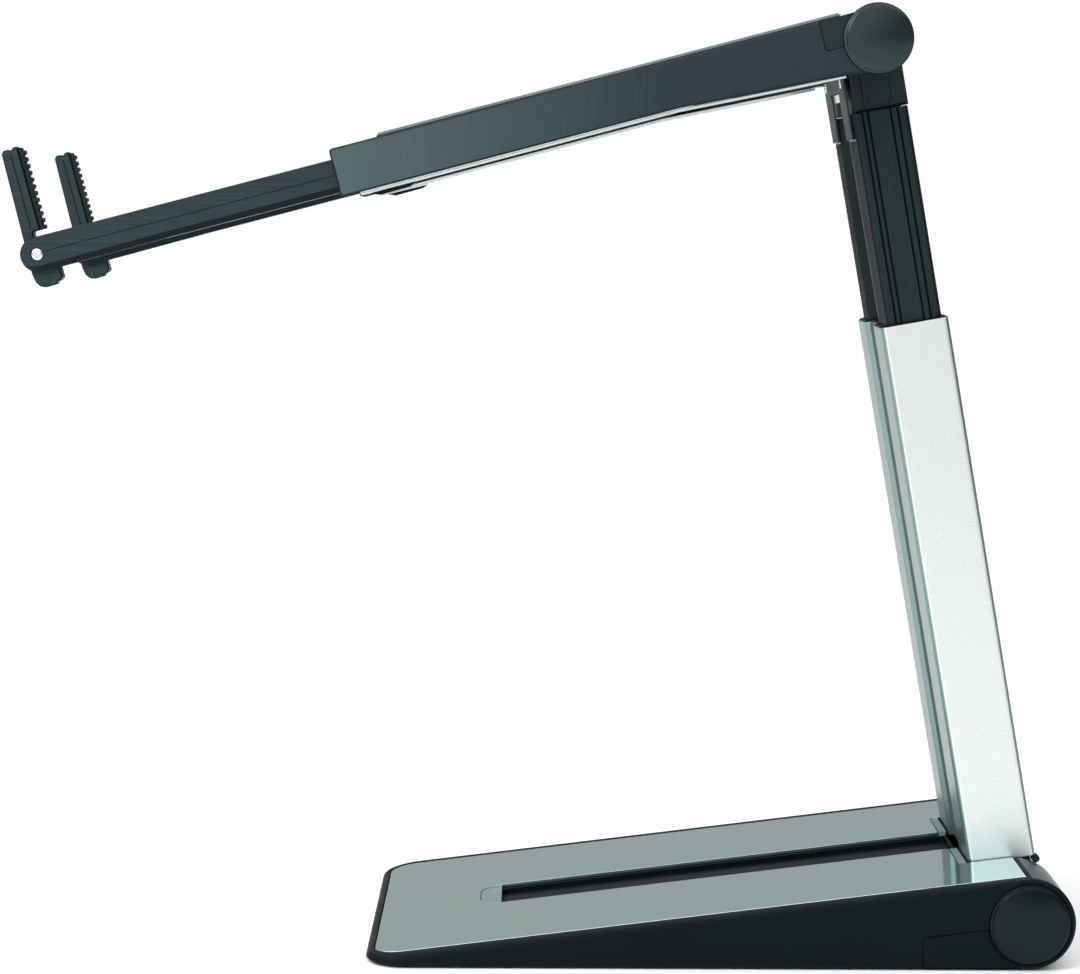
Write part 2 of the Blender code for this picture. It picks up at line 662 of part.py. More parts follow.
def extension_parts(side, sign, frame, looks):
    full = bar_outline(0.0)
    face = inset(bar_outline(1.9), 0.25)
    rings = [
        across(face, sign * BAR_INNER),
        across(full, sign * (BAR_INNER + 1.4)),
        across(full, sign * (BAR_OUTER - 1.4)),
        across(face, sign * BAR_OUTER),
    ]
    bar = solid("extension_bar_" + side, rings, frame, looks["anodised"], True)
    fork = box("fork_cut_" + side, (-340.0, -FORK_START),
               sorted((sign * (ARM_MIDDLE - FORK_HALF), sign * (ARM_MIDDLE + FORK_HALF))),
               (-30.0, 30.0), frame, None)
    cut(bar, fork)
    pin = (-PIN_REACH, PIN_UP)
    cut(bar, disc("pin_bore_" + side, pin, PIN_R + GAP, -90, 90, frame, None, 20))
    for face_y, name, out in ((BAR_OUTER, "outer", 1), (BAR_INNER, "inner", -1)):
        low, high = sorted((sign * (face_y - 0.3), sign * (face_y + 0.3)))
        line = box(f"bar_line_{name}_{side}", (-PIN_REACH + 3.4, -BAR_TAIL - 4.0), (low, high),
                   (PIN_UP + 0.3, PIN_UP + 0.6), frame, None)
        cut(bar, line)
        deep = sign * (face_y - out * 1.0)
        pocket = disc(f"pin_pocket_{name}_{side}", pin, PIN_HEAD_R + GAP, deep,
                      sign * (face_y + out * 5.0), frame, None, 24)
        cut(bar, pocket)
    rings = [
        across(circle(pin, r, 20), sign * w)
        for r, w in ((PIN_HEAD_R - 0.5, BAR_INNER + 0.1), (PIN_HEAD_R, BAR_INNER + 0.3),
                     (PIN_HEAD_R, BAR_INNER + 0.7), (PIN_R, BAR_INNER + 0.75),
                     (PIN_R, BAR_OUTER - 0.75), (PIN_HEAD_R, BAR_OUTER - 0.7),
                     (PIN_HEAD_R, BAR_OUTER - 0.2), (PIN_HEAD_R - 0.6, BAR_OUTER + 0.1))
    ]
    solid("stop_pin_" + side, rings, frame, looks["steel"], True)


def stop_parts(side, sign, frame, looks):
    """The folding stop, in a frame on its pin: a back bar, a foot and a toothed pad."""
    middle = sign * ARM_MIDDLE
    low, high = middle - STOP_HALF, middle + STOP_HALF
    top = STOP_TOP
    outline = [(-4.2, -6.6), (-3.3, top - 1.2), (-2.4, top - 0.2), (-0.9, top - 0.2),
               (0.1, top - 0.8), (1.2, top + 0.1), (2.2, top + 0.2), (RIB, top - 0.3),
               (RIB, PAD_START), (0.5, PAD_START), (0.0, PAD_START - 0.6), (0.0, 6.0),
               (3.4, 4.0), (3.8, -4.4), (6.1, -4.7), (6.2, -10.0), (5.2, -10.8), (3.8, -11.2),
               (3.4, -11.9), (-0.6, -12.0), (-2.4, -11.2), (-3.6, -9.6)]
    finger = side_prism("stop_finger_" + side, outline[::-1], low, high, frame, looks["black"],
                        0.45, True)
    cut(finger, disc("finger_bore_" + side, (0, 0), PIN_R + RUNNING, low - 5, high + 5, frame,
                     None, 20))
    for face, out in ((low, -1), (high, 1)):
        y = sorted((face - out * 0.5, face + out * 2.0))
        cut(finger, box(f"finger_seam_{side}_{out}", (-0.35, 0.15), y, (9.5, top - 2.4), frame, None))
    teeth = 12
    start, end = PAD_START + 0.1, top - 0.6
    pitch = (end - start) / teeth
    root, crest = RIB + 1.0, RIB + 1.9
    pad = [(RIB + GAP, start)]
    for i in range(teeth):
        z = start + i * pitch
        pad += [(crest - 0.2, z), (crest, z + pitch * 0.2), (crest, z + pitch * 0.5),
                (root, z + pitch * 0.68), (root, z + pitch * 0.88)]
    pad += [(root, end), (RIB + GAP, end)]
    side_prism("stop_pad_" + side, pad, low + 0.2, high - 0.2, frame, looks["rubber"])


# ------------------------------------------------------------------ assembly
def clear_scene():
    for old in list(bpy.data.objects):
        bpy.data.objects.remove(old, do_unlink=True)


def main():
    clear_scene()
    looks = make_materials()
    base_shell(looks)
    base_plate(looks)
    slot_tray(looks)
    front_stops(looks)
    bottom_cover(looks)
    hub_parts(looks)

    column = empty("column_axis", (HUB_X, 0, HUB_Z), -LEAN)
    column_tube(column, looks)
    column_foot(column, looks)
    glide_strips(column, looks)

    mast = empty("mast_slide", (0, 0, 0), 0.0, column)
    mast_profile(mast, looks)
    mast_head(mast, looks)

    for side, sign in SIDES.items():
        place = (-ARM_AXIS_FORWARD, 0, ARM_AXIS_ALONG)
        arm = empty("arm_axis_" + side, place, LEAN - ARM_DROP, mast)
        arm_parts(side, sign, arm, looks)
        extension = empty("extension_slide_" + side, (0, 0, 0), 0.0, arm)
        extension_parts(side, sign, extension, looks)
        stop = empty("stop_axis_" + side, (-PIN_REACH, 0, PIN_UP), 0.0, extension)
        stop_parts(side, sign, stop, looks)


main()
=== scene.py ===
"""Looks for a folding device stand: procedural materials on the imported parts, finer
pieces that ride on them, a pale studio and the camera. Lengths are in metres."""

import json
import math

import bmesh
import bpy
from mathutils import Matrix, Vector


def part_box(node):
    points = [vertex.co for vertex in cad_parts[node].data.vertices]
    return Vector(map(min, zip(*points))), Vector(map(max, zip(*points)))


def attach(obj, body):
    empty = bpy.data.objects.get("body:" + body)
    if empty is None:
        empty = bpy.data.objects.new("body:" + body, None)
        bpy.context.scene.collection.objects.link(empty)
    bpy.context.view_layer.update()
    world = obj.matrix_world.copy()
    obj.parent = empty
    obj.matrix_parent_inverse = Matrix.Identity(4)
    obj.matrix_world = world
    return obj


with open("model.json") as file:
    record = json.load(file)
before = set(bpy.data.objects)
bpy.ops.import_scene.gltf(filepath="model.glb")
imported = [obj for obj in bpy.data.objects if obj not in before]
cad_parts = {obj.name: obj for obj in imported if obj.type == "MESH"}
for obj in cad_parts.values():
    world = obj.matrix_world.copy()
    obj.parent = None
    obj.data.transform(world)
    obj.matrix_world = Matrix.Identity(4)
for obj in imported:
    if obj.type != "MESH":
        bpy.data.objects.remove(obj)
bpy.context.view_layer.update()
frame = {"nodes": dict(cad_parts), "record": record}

MM = 0.001
NODES = frame["nodes"]
JOINTS = {j["name"]: j for j in frame["record"]["behaviour"]["joints"]}
SIDES = {"left": -1.0, "right": 1.0}
TINT = (0.72, 0.95, 1.0)  # cool cast of the black parts' sheen
METAL_IOR = 1.3  # keeps glancing light off the anodised faces
# painted shade: a near-black for the edges, chamfers and other faces of the arms and bars that
# don't look along Y
EDGE_SHADE = (0.004, 0.006, 0.007)  # edges and chamfers of the arms and bars


# ------------------------------------------------------------------ shader helpers
class Look:
    """One material and short ways to add nodes to it."""

    def __init__(self, name, colour, roughness, metallic=0.0):
        self.material = bpy.data.materials.new(name)
        self.material.use_nodes = True
        self.tree = self.material.node_tree
        self.shader = self.tree.nodes["Principled BSDF"]
        self.shader.inputs["Base Color"].default_value = (*colour, 1.0)
        self.shader.inputs["Roughness"].default_value = roughness
        self.shader.inputs["Metallic"].default_value = metallic
        self.place = self.add("ShaderNodeTexCoord").outputs["Object"]

    def add(self, kind, **values):
        """A new node with its settings."""
        node = self.tree.nodes.new(kind)
        for key, value in values.items():
            setattr(node, key, value)
        return node

    def link(self, source, target):
        self.tree.links.new(source, target)

    def stretched(self, scale):
        """Object coordinates scaled along each axis."""
        node = self.add("ShaderNodeMapping")
        self.link(self.place, node.inputs["Vector"])
        node.inputs["Scale"].default_value = scale
        return node.outputs["Vector"]

    def noise(self, scale, detail=2.0, roughness=0.5, vector=None):
        """Noise between 0 and 1, in object coordinates unless others are given."""
        node = self.add("ShaderNodeTexNoise")
        self.link(vector or self.place, node.inputs["Vector"])
        node.inputs["Scale"].default_value = scale
        node.inputs["Detail"].default_value = detail
        node.inputs["Roughness"].default_value = roughness
        return node.outputs["Fac"]

    def spread(self, value, low, high, start=0.3, end=0.7):
        """A 0 to 1 value carried to a range."""
        node = self.add("ShaderNodeMapRange")
        self.link(value, node.inputs["Value"])
        node.inputs["From Min"].default_value = start
        node.inputs["From Max"].default_value = end
        node.inputs["To Min"].default_value = low
        node.inputs["To Max"].default_value = high
        return node.outputs["Result"]

    def ramp(self, value, stops):
        """A 0 to 1 value turned into colours at the given stops."""
        node = self.add("ShaderNodeValToRGB")
        band = node.color_ramp
        while len(band.elements) < len(stops):
            band.elements.new(0.5)
        for element, (place, colour) in zip(band.elements, stops):
            element.position = place
            element.color = (*colour, 1.0)
        self.link(value, node.inputs["Fac"])
        return node.outputs["Color"]

    def colour(self, source):
        self.link(source, self.shader.inputs["Base Color"])

    def rough(self, source):
        self.link(source, self.shader.inputs["Roughness"])

    def bump(self, source, distance, strength, normal):
        node = self.add("ShaderNodeBump")
        node.inputs["Distance"].default_value = distance
        node.inputs["Strength"].default_value = strength
        self.link(source, node.inputs["Height"])
        self.link(normal, node.inputs["Normal"])
        self.link(node.outputs["Normal"], self.shader.inputs["Normal"])

    def sheen(self, level, ior=1.5):
        """The strength of the shine, with the black parts' cool cast."""
        self.shader.inputs["IOR"].default_value = ior
        self.shader.inputs["Specular IOR Level"].default_value = level
        self.shader.inputs["Specular Tint"].default_value = (*TINT, 1.0)

    def soft_edges(self, radius):
        """Slightly rounded edges, for the normal that bumps start from."""
        node = self.add("ShaderNodeBevel", samples=4)
        node.inputs["Radius"].default_value = radius
        return node.outputs["Normal"]


def shaded(dark, share):
    """A dark colour made lighter or darker."""
    return tuple(c * share for c in dark)


def moulded(name, colour, roughness, grain, depth, sheen, ior=1.5):
    """Moulded or painted plastic: cloudy colour, uneven gloss and a fine spark-eroded grain."""
    look = Look(name, colour, roughness)
    clouds = look.noise(16.0, 4.0, 0.6)
    look.colour(look.ramp(clouds, [(0.25, shaded(colour, 0.8)), (0.75, shaded(colour, 1.2))]))
    smears = look.noise(70.0, 5.0, 0.6)
    look.rough(look.spread(smears, roughness - 0.05, roughness + 0.07))
    pores = look.noise(grain, 2.0, 0.7)
    look.bump(pores, depth * MM, 0.5, look.soft_edges(0.35 * MM))
    look.sheen(sheen, ior)
    return look


def side_shade_mask(look):
    """1 on faces that look straight along Y, 0 on every other face, which then takes painted
    shade.
    """
    geometry = look.add("ShaderNodeNewGeometry")
    parts = look.add("ShaderNodeSeparateXYZ")
    look.link(geometry.outputs["True Normal"], parts.inputs["Vector"])
    size = look.add("ShaderNodeMath", operation="ABSOLUTE")
    look.link(parts.outputs["Y"], size.inputs[0])
    return look.spread(size.outputs["Value"], 0.0, 1.0, 0.93, 0.985)


def mixed(look, share, low, high):
    """A colour between two others, each a colour or a node's output."""
    node = look.add("ShaderNodeMix", data_type="RGBA")
    look.link(share, node.inputs["Factor"])
    for socket, value in ((node.inputs["A"], low), (node.inputs["B"], high)):
        if isinstance(value, tuple):
            socket.default_value = (*value, 1.0)
        else:
            look.link(value, socket)
    return node.outputs["Result"]


def make_arm_shell():
    """Arm covers: brushed side faces with painted light that grows towards the front, and
    painted shade on the edges.
    """
    look = Look("arm_shell", (0.04, 0.06, 0.066), 0.42)
    along = look.add("ShaderNodeSeparateXYZ")
    look.link(look.place, along.inputs["Vector"])
    streaks = look.noise(30.0, 6.0, 0.75, look.stretched((22.0, 3.0, 2.0)))
    reach = look.add("ShaderNodeMath", operation="ADD")
    drift = look.spread(streaks, -0.014, 0.014)
    look.link(along.outputs["X"], reach.inputs[0])
    look.link(drift, reach.inputs[1])
    # painted light: the side faces grow paler towards the arm's front, the gradient's edge
    # wandering with the streaks
    pale = look.spread(reach.outputs["Value"], 1.0, 0.0, -0.15, -0.025)
    face = mixed(look, pale, (0.0115, 0.0188, 0.0225), (0.050, 0.076, 0.083))
    # painted shade on the edges and on every face that doesn't look along Y
    look.colour(mixed(look, side_shade_mask(look), EDGE_SHADE, face))
    look.rough(look.spread(streaks, 0.34, 0.48))
    look.bump(streaks, 0.008 * MM, 0.6, look.soft_edges(0.4 * MM))
    look.sheen(0.25)
    return look


def make_bar():
    """Extension bars: satin side faces with fine lengthwise lines, and painted shade on the
    chamfers and every face that doesn't look along Y.
    """
    look = Look("bar_satin", (0.03, 0.045, 0.05), 0.36)
    lines = look.noise(30.0, 4.0, 0.7, look.stretched((0.8, 60.0, 60.0)))
    face = look.ramp(lines, [(0.3, (0.0135, 0.0215, 0.0245)), (0.7, (0.0235, 0.035, 0.0385))])
    # painted shade on the chamfers and every face that doesn't look along Y
    look.colour(mixed(look, side_shade_mask(look), EDGE_SHADE, face))
    look.rough(look.spread(look.noise(120.0, 4.0), 0.32, 0.44))
    look.bump(lines, 0.008 * MM, 0.5, look.soft_edges(0.25 * MM))
    look.sheen(0.25, METAL_IOR)
    return look


def make_satin_aluminium():
    """Bead-blasted aluminium: a fine sparkle, and painted shade that darkens the slim faces, all
    that don't look along Y.
    """
    look = Look("satin_aluminium", (0.80, 0.825, 0.815), 0.36, 1.0)
    beads = look.noise(2600.0, 1.0, 0.6)
    broad = look.ramp(beads, [(0.35, (0.60, 0.64, 0.63)), (0.62, (0.74, 0.775, 0.765))])
    # painted shade: a darker copy of the aluminium on every face that doesn't look along Y
    narrow_shade = look.ramp(beads, [(0.35, (0.165, 0.225, 0.222)), (0.62, (0.22, 0.295, 0.29))])
    look.colour(mixed(look, side_shade_mask(look), narrow_shade, broad))
    look.rough(look.spread(look.noise(900.0, 3.0), 0.30, 0.42))
    look.bump(beads, 0.03 * MM, 0.55, look.soft_edges(0.6 * MM))
    return look


def make_polished_plate():
    """Polished plate: near mirror, with faint wipe marks."""
    look = Look("polished_plate", (0.74, 0.97, 0.945), 0.08, 1.0)
    wiped = look.stretched((3.0, 30.0, 3.0))
    marks = look.noise(12.0, 6.0, 0.7, wiped)
    look.rough(look.spread(marks, 0.05, 0.11))
    look.bump(look.noise(700.0, 2.0), 0.003 * MM, 0.3, look.soft_edges(0.2 * MM))
    return look


def make_anodised():
    """Black anodised extrusion with fine die lines up and down, and painted shade on every face
    that doesn't look along Y.
    """
    look = Look("black_anodised", (0.02, 0.03, 0.034), 0.32)
    lines = look.noise(30.0, 4.0, 0.7, look.stretched((60.0, 60.0, 6.0)))
    face = look.ramp(lines, [(0.3, (0.0075, 0.0125, 0.0135)), (0.7, (0.0125, 0.0195, 0.021))])
    # painted shade: near-black on every face that doesn't look along Y
    look.colour(mixed(look, side_shade_mask(look), (0.003, 0.005, 0.006), face))
    look.rough(look.spread(lines, 0.24, 0.36))
    look.bump(lines, 0.01 * MM, 0.5, look.soft_edges(0.25 * MM))
    look.sheen(0.35, METAL_IOR)
    return look


def make_steel():
    """Turned steel: fine uneven gloss."""
    look = Look("steel", (0.66, 0.68, 0.68), 0.24, 1.0)
    turned = look.noise(300.0, 3.0, 0.6, look.stretched((1.0, 40.0, 1.0)))
    look.rough(look.spread(turned, 0.18, 0.34))
    look.bump(turned, 0.01 * MM, 0.4, look.soft_edges(0.15 * MM))
    return look


# name, colour, roughness, grain scale, grain depth in mm, strength of shine
MOULDED = (
    ("black_plastic", (0.0024, 0.0042, 0.0052), 0.46, 3800.0, 0.02, 0.08),
    ("dark_satin", (0.0125, 0.0195, 0.0225), 0.34, 3200.0, 0.02, 0.4),
    ("hub_cap", (0.0012, 0.0022, 0.0028), 0.2, 3200.0, 0.01, 0.22),
    ("barrel", (0.017, 0.028, 0.030), 0.33, 3200.0, 0.02, 0.9),
    ("cap", (0.003, 0.0052, 0.006), 0.2, 3200.0, 0.01, 0.55),
    ("grey_plastic", (0.15, 0.20, 0.195), 0.45, 2600.0, 0.02, 0.25),
    ("rubber", (0.009, 0.014, 0.015), 0.68, 2400.0, 0.05, 0.2),
    ("bracket", (0.024, 0.038, 0.038), 0.55, 2600.0, 0.02, 0.2, METAL_IOR),
    # dark grey for the groove's strip: painted shade on the groove's floor
    ("groove_shade", (0.05, 0.07, 0.069), 0.40, 2600.0, 0.02, 0.4),
    ("pad_rubber", (0.007, 0.012, 0.013), 0.7, 2400.0, 0.05, 0.15),
    ("moulded_black", (0.0075, 0.0122, 0.0138), 0.40, 3800.0, 0.02, 0.25),
)
LOOKS = {settings[0]: moulded(*settings) for settings in MOULDED}
LOOKS["satin_aluminium"] = make_satin_aluminium()
LOOKS["polished_plate"] = make_polished_plate()
LOOKS["black_anodised"] = make_anodised()
LOOKS["steel"] = make_steel()
LOOKS["arm_shell"] = make_arm_shell()
LOOKS["bar_satin"] = make_bar()

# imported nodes, without _left or _right, whose look isn't their slot's
NODE_LOOKS = {
    "mast_head": "moulded_black",
    "column_foot": "moulded_black",
    "head_bracket": "bracket",
    "barrel_cover": "barrel",
    "hub_cap": "hub_cap",
    "stop_pad": "pad_rubber",
    "arm_cover": "arm_shell",
    "extension_bar": "bar_satin",
    "arm_insert": "moulded_black",
    "stop_finger": "bar_satin",
}


def finish_frame():
    """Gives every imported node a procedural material: its own, or its slot's."""
    slots = {s["node"]: s["material_slot"] for s in frame["record"]["subparts"]}
    for node, made in NODES.items():
        stem = node.removesuffix("_left").removesuffix("_right")
        made.data.materials.clear()
        made.data.materials.append(LOOKS[NODE_LOOKS.get(stem, slots[node])].material)


# ------------------------------------------------------------------ finer pieces
HUB = Vector(JOINTS["column_fold"]["pos_m"])
UP_COLUMN = Vector(JOINTS["column_lift"]["axis"])
ARM_AXIS = Vector(JOINTS["arm_tilt_left"]["pos_m"])
ALONG_ARM = Vector(JOINTS["extension_slide_left"]["axis"])
LEAN = math.atan2(UP_COLUMN.x, UP_COLUMN.z)
DROP = math.atan2(ALONG_ARM.z, -ALONG_ARM.x)

# Frames that the pieces are drawn in: y is across, and each starts on a joint's axis
HUB_PLACE = Matrix.Translation(HUB)
COLUMN = HUB_PLACE @ Matrix.Rotation(LEAN, 4, "Y")
ARM = Matrix.Translation(ARM_AXIS) @ Matrix.Rotation(DROP, 4, "Y")

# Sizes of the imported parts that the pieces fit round, in millimetres
TUBE = {"front": 14.3, "rear": 10.7, "half": 38.5, "radius": 1.8, "groove": 13.3, "deep": 2.2}
MAST = {"front": 12.0, "rear": 8.7, "half": 36.0, "radius": 1.8, "groove": 15.9, "deep": 3.2}
MOUTH = {**MAST, "deep": 1.65}  # shallow enough to clear the rib in the mast's groove
GROOVE_SLANT = 1.0
TUBE_BOTTOM, TUBE_TOP = 15.6, 218.2
MAST_BOTTOM, MAST_TOP = 122.0, 296.4
ARM_MIDDLE, ARM_FRONT = 56.6, 197.4
BAR_HALF, BAR_TOP, BAR_BOTTOM = 6.5, 7.3, -4.7
ARM_SIDE = 65.6
ARM_CAP_R = 12.3

# Sizes of the pieces, in millimetres
SHARP_ANGLE = 35  # degrees; a crease sharper than this isn't smoothed
LINER_INSET, LINER_THICK, LINER_GAP = 0.6, 0.5, 0.06
LINER_BOTTOM, LINER_TOP = TUBE_BOTTOM + 1.0, TUBE_TOP - 0.6
LINER_RIBS = (8.5, 4.2, 0.0, -4.2, -8.5)
LINER_RIB_HEIGHT, LINER_RIB_FOOT, LINER_RIB_CREST = 0.35, 0.5, 0.25
MAST_RIBS = (18.6, 21.2, 23.8, 26.4, 29.0, 31.6, 33.6)
MAST_RIBS_INNER, MAST_RIBS_OUTER = 17.0, 34.2
MAST_RIBS_BOTTOM, MAST_RIBS_TOP = MAST_BOTTOM + 2.0, 286.8
MAST_RIB_GAP, MAST_RIB_WEB, MAST_RIB_HEIGHT = 0.02, 0.03, 0.2
MAST_RIB_FOOT, MAST_RIB_CREST = 0.35, 0.1
WIPER_INSET, WIPER_CLEARANCE = 0.45, 0.5
WIPER_FOOT, WIPER_RIM, WIPER_LIP = 0.06, 0.45, 0.75  # above the tube's rim
SHIM_HALF, SHIM_LOW, SHIM_HIGH, SHIM_FRONT = 13.2, 5.6, 8.6, 0.18
SHIM_THICK, SHIM_CORNER = 0.1, 0.8
RIVET_ACROSS, RIVET_UP = 26.0, 12.0
RIVET_STEPS, SEAM_STEPS, DOME_STEPS = 20, 64, 72  # sides of the round pieces
RIVET_RINGS = ((0.95, 1.9), (1.2, 1.9), (1.35, 1.6), (1.35, 0.9), (1.0, 0.7))  # forward, radius
FRAME_HALF, FRAME_ABOVE, FRAME_BELOW = 7.6, 1.6, 1.3
FRAME_HOLE_ABOVE, FRAME_HOLE_BELOW = 0.3, 0.75  # the bar thickens below, towards its end
FRAME_FRONT, FRAME_REAR = 0.1, 0.42
FRAME_CORNER, FRAME_HOLE_CORNER = 0.6, 0.4
SEAM_START, SEAM_WIDTH, SEAM_OUT, SEAM_IN = 0.08, 0.16, 0.25, 1.2
DOME_RISE, DOME_SUNK = 1.3, 0.3
DOME_RINGS = (1.0, 0.99, 0.96, 0.9, 0.82, 0.72, 0.6, 0.46, 0.32, 0.18, 0.06)
ARM_DOME_R, HUB_DOME_R = 11.7, 13.9
CROSS_ARM, CROSS_HALF, CROSS_FAR, CROSS_NEAR = 1.7, 0.32, 0.05, 0.02


def arc(centre, radius, start, end, steps):
    """Points along an arc, both ends included; angles are in degrees."""
    angles = [math.radians(start + (end - start) * i / steps) for i in range(steps + 1)]
    return [(centre[0] + radius * math.cos(a), centre[1] + radius * math.sin(a)) for a in angles]


def circle(radius, steps, centre=(0.0, 0.0)):
    """An arc's points all the way round, without the last, which repeats the first."""
    return arc(centre, radius, 0, 360, steps)[:-1]


def rounded(x, y, radius, steps=4):
    """A rectangle with round corners."""
    corners = ((x[1], y[1], 0), (x[0], y[1], 90), (x[0], y[0], 180), (x[1], y[0], 270))
    points = []
    for cx, cy, start in corners:
        centre = (
            cx - math.copysign(radius, cx - sum(x) / 2),
            cy - math.copysign(radius, cy - sum(y) / 2),
        )
        points += arc(centre, radius, start, start + 90, steps)
    return points


def section(size, grow):
    """The tube's or the mast's section seen from above, its skin moved out by grow."""
    front, rear, half = size["front"] + grow, size["rear"] + grow, size["half"] + grow
    radius = size["radius"]
    groove = size["groove"] - grow
    mouth = groove + GROOVE_SLANT
    floor = size["deep"] - size["front"] - grow
    points = arc((rear - radius, half - radius), radius, 0, 90, 4)
    points += arc((radius - front, half - radius), radius, 90, 180, 4)
    points += [(-front, mouth), (floor, groove), (floor, -groove), (-front, -mouth)]
    points += arc((radius - front, radius - half), radius, 180, 270, 4)
    points += arc((rear - radius, radius - half), radius, 270, 360, 4)
    return points


def skin(work, rings, closed_ring):
    """Faces between rings of points in millimetres, with flat ends or as a closed ring."""
    loops = [[work.verts.new([c * MM for c in p]) for p in ring] for ring in rings]
    pairs = list(zip(loops, loops[1:]))
    if closed_ring:
        pairs.append((loops[-1], loops[0]))
    else:
        work.faces.new(loops[0][::-1])
        work.faces.new(loops[-1])
    for low, high in pairs:
        for i in range(len(low)):
            j = (i + 1) % len(low)
            work.faces.new((low[i], low[j], high[j], high[i]))
    bmesh.ops.recalc_face_normals(work, faces=work.faces)


def piece(name, body, look, place, rings, closed_ring=False):
    """A closed skin over rings of points, placed and set to ride on a body."""
    work = bmesh.new()
    skin(work, rings, closed_ring)
    mesh = bpy.data.meshes.new(name)
    work.to_mesh(mesh)
    work.free()
    mesh.transform(place)
    mesh.materials.append(LOOKS[look].material)
    mesh.shade_smooth()
    mesh.set_sharp_from_angle(angle=math.radians(SHARP_ANGLE))
    made = bpy.data.objects.new(name, mesh)
    bpy.context.scene.collection.objects.link(made)
    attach(made, body)


def upright(outline, low, high):
    """Two rings, low and high, of an outline seen from above."""
    return [[(x, y, z) for x, y in outline] for z in (low, high)]


def make_groove_shade_liner():
    """A ribbed strip that lines the groove in the tube's front, its dark grey painted shade on
    the groove's floor.
    """
    floor = TUBE["deep"] - TUBE["front"]
    half = TUBE["groove"] - LINER_INSET
    under, face = floor - LINER_GAP, floor - LINER_THICK
    crest = face - LINER_RIB_HEIGHT
    outline = [(under, -half), (under, half), (face, half)]
    for y in LINER_RIBS:
        outline += [
            (face, y + LINER_RIB_FOOT),
            (crest, y + LINER_RIB_CREST),
            (crest, y - LINER_RIB_CREST),
            (face, y - LINER_RIB_FOOT),
        ]
    outline.append((face, -half))
    rings = upright(outline, LINER_BOTTOM, LINER_TOP)
    piece("groove_shade_liner", "column", "groove_shade", COLUMN, rings)


def make_mouth_wiper():
    """A thin collar on the tube's rim that closes the gap round the mast."""
    outer, inner = section(TUBE, -WIPER_INSET), section(MOUTH, WIPER_CLEARANCE)
    levels = ((outer, WIPER_FOOT), (outer, WIPER_RIM), (inner, WIPER_LIP), (inner, WIPER_FOOT))
    rings = [[(x, y, TUBE_TOP + up) for x, y in outline] for outline, up in levels]
    piece("mouth_wiper", "column", "black_plastic", COLUMN, rings, True)


def make_bracket_shim():
    """A bright spring shim that shows in the bracket's window."""
    back = -MAST["front"] - SHIM_FRONT
    height = (MAST_TOP + SHIM_LOW, MAST_TOP + SHIM_HIGH)
    outline = rounded((-SHIM_HALF, SHIM_HALF), height, SHIM_CORNER)
    rings = [[(x, y, z) for y, z in outline] for x in (back, back + SHIM_THICK)]
    piece("bracket_shim", "mast", "steel", COLUMN, rings)


def make_bracket_rivet(side, sign):
    """A rivet head with a dimple, on the head bracket."""
    back = -MAST["front"] - SHIM_FRONT
    centre = (sign * RIVET_ACROSS, MAST_TOP + RIVET_UP)
    rings = [
        [(back - forward, y, z) for y, z in circle(radius, RIVET_STEPS, centre)]
        for forward, radius in RIVET_RINGS
    ]
    piece("bracket_rivet_" + side, "mast", "steel", COLUMN, rings)


def make_arm_mouth(side, sign):
    """A frame round the bar where it leaves the arm."""
    middle = sign * ARM_MIDDLE
    outer = rounded(
        (middle - FRAME_HALF, middle + FRAME_HALF),
        (BAR_BOTTOM - FRAME_BELOW, BAR_TOP + FRAME_ABOVE),
        FRAME_CORNER,
    )
    hole = BAR_HALF + FRAME_HOLE_ABOVE
    inner = rounded(
        (middle - hole, middle + hole),
        (BAR_BOTTOM - FRAME_HOLE_BELOW, BAR_TOP + FRAME_HOLE_ABOVE),
        FRAME_HOLE_CORNER,
    )
    front, rear = FRAME_FRONT - ARM_FRONT, FRAME_REAR - ARM_FRONT
    loops = ((outer, rear), (outer, front), (inner, front), (inner, rear))
    rings = [[(x, y, z) for y, z in outline] for outline, x in loops]
    piece("arm_mouth_" + side, "arm_" + side, "moulded_black", ARM, rings, True)


def make_cap_ring(side, sign):
    """A thin dark ring in the seam between an arm and its cap."""
    outer = circle(ARM_CAP_R + SEAM_OUT, SEAM_STEPS)
    inner = circle(ARM_CAP_R - SEAM_IN, SEAM_STEPS)
    start = ARM_SIDE + SEAM_START
    end = start + SEAM_WIDTH
    loops = ((outer, start), (outer, end), (inner, end), (inner, start))
    rings = [[(x, sign * y, z) for x, z in outline] for outline, y in loops]
    piece("arm_cap_ring_" + side, "arm_" + side, "black_plastic", ARM, rings, True)


def make_mast_ribs(side, sign):
    """Fine ribs down one of the two flat strips on the mast's front."""
    back = -MAST["front"] - MAST_RIB_GAP
    web, crest = back - MAST_RIB_WEB, back - MAST_RIB_HEIGHT
    outline = [(back, sign * MAST_RIBS_INNER)]
    for middle in MAST_RIBS:
        outline += [
            (web, sign * (middle - MAST_RIB_FOOT)),
            (crest, sign * (middle - MAST_RIB_CREST)),
            (crest, sign * (middle + MAST_RIB_CREST)),
            (web, sign * (middle + MAST_RIB_FOOT)),
        ]
    outline += [(web, sign * MAST_RIBS_OUTER), (back, sign * MAST_RIBS_OUTER)]
    rings = upright(outline, MAST_RIBS_BOTTOM, MAST_RIBS_TOP)
    piece("mast_ribs_" + side, "mast", "black_anodised", COLUMN, rings)


def dome_rings(node, radius):
    """A shallow dome over a round cap's outer face, sunk a little into it."""
    low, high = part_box(node)
    face = max(low[1] / MM, high[1] / MM, key=abs)
    sign = math.copysign(1.0, face)
    rings = []
    for share in DOME_RINGS:
        y = face + sign * (DOME_RISE * (1.0 - share * share) - DOME_SUNK)
        rings.append([(x, y, z) for x, z in circle(radius * share, DOME_STEPS)])
    return rings


def make_cap_domes(side):
    """The domes on one side's arm cap and hub cap."""
    rings = dome_rings("arm_cap_" + side, ARM_DOME_R)
    piece("arm_cap_dome_" + side, "arm_" + side, "cap", ARM, rings)
    rings = dome_rings("hub_cap_" + side, HUB_DOME_R)
    piece("hub_cap_dome_" + side, "base", "hub_cap", HUB_PLACE, rings)


